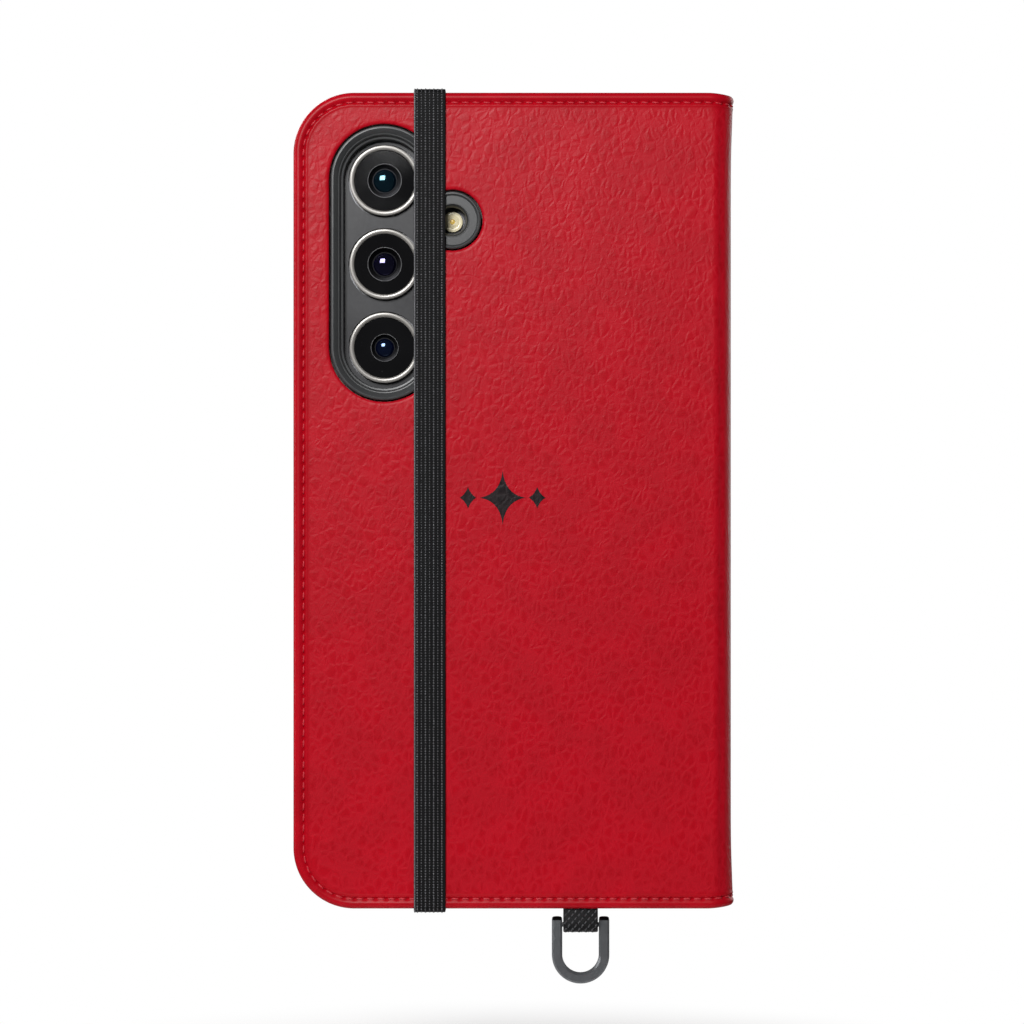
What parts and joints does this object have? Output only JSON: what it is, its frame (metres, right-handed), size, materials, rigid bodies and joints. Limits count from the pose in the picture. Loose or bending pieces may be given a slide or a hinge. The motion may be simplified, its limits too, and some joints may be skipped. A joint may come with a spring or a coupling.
{
  "type": "phone wallet case",
  "caption": "Book-style phone wallet case with camera window, elastic closing band, folding spine, card pockets and a webbing tab with a metal shackle, holding a phone.",
  "frame": {"origin": "centre of the back cover's outer face", "axes": "+Z to the top of the phone, +X to the spine, -Y out of the back cover"},
  "size_m": [0.0887, 0.0203, 0.1811],
  "materials": {
    "red_leather": "pebbled grain, semi-matt",
    "black_lining": "fine grain, matt",
    "greyboard": "matt",
    "holder_plastic": "fine satin",
    "elastic_webbing": "ribbed knit",
    "tab_webbing": "coarse basket weave",
    "gunmetal": "dark nickel, satin",
    "lens_metal": "bead blasted, polished bevel",
    "lens_glass": "coated, glossy",
    "phone_metal": "anodised, satin",
    "phone_back": "satin",
    "screen_glass": "glossy",
    "flash_lens": "frosted"
  },
  "bodies": {
    "back_cover": {"back_skin": "red_leather", "back_board": "greyboard", "back_lining": "black_lining", "phone_shell": "holder_plastic", "tab_anchor": "tab_webbing", "phone_chassis": "phone_metal", "phone_back_glass": "phone_back", "phone_screen": "screen_glass", "flash_lens": "flash_lens", "lens_ring_1": "lens_metal", "lens_ring_2": "lens_metal", "lens_ring_3": "lens_metal", "lens_window_1": "lens_glass", "lens_window_2": "lens_glass", "lens_window_3": "lens_glass", "lens_barrel_1": "lens_glass", "lens_barrel_2": "lens_glass", "lens_barrel_3": "lens_glass"},
    "spine": {"spine_skin": "red_leather", "spine_board": "greyboard", "spine_lining": "black_lining"},
    "front_cover": {"front_skin": "red_leather", "front_board": "greyboard", "front_lining": "black_lining", "card_pocket_1": "black_lining", "card_pocket_2": "black_lining", "card_pocket_3": "black_lining", "cash_pocket": "black_lining", "band_anchor_top": "elastic_webbing", "band_anchor_bottom": "elastic_webbing"},
    "closing_band": {"elastic_band": "elastic_webbing"},
    "tab": {"strap_tab": "tab_webbing"},
    "ring": {"ring_shackle": "gunmetal", "ring_bar": "gunmetal"},
    "power_button": {"power_key": "phone_metal"},
    "volume_button": {"volume_key": "phone_metal"}
  },
  "joints": [
    {"name": "spine_fold", "type": "hinge", "parent": "back_cover", "child": "spine", "pos_m": [0.04555, 0.0009, 0], "axis": [0, 0, -1], "range_deg": [0, 176]},
    {"name": "cover_fold", "type": "hinge", "parent": "spine", "child": "front_cover", "pos_m": [0.04555, 0.0186, 0], "axis": [0, 0, -1], "range_deg": [0, 176]},
    {"name": "band_swing", "type": "hinge", "parent": "front_cover", "child": "closing_band", "pos_m": [-0.01475, 0.0179, 0], "axis": [0, 0, -1], "range_deg": [0, 180], "deforming": ["elastic_band"]},
    {"name": "tab_flex", "type": "hinge", "parent": "back_cover", "child": "tab", "pos_m": [0.0158, 0.0016, -0.0829], "axis": [-1, 0, 0], "range_deg": [-45, 45]},
    {"name": "ring_swing", "type": "hinge", "parent": "tab", "child": "ring", "pos_m": [0.0158, 0.0016, -0.08593], "axis": [-1, 0, 0], "range_deg": [-45, 90]},
    {"name": "power_key_press", "type": "slide", "parent": "back_cover", "child": "power_button", "axis": [1, 0, 0], "range_m": [0, 0.00025], "stiffness_N_per_m": 800, "springref_m": -0.0005},
    {"name": "volume_key_press", "type": "slide", "parent": "back_cover", "child": "volume_button", "axis": [1, 0, 0], "range_m": [0, 0.00025], "stiffness_N_per_m": 800, "springref_m": -0.0005}
  ]
}
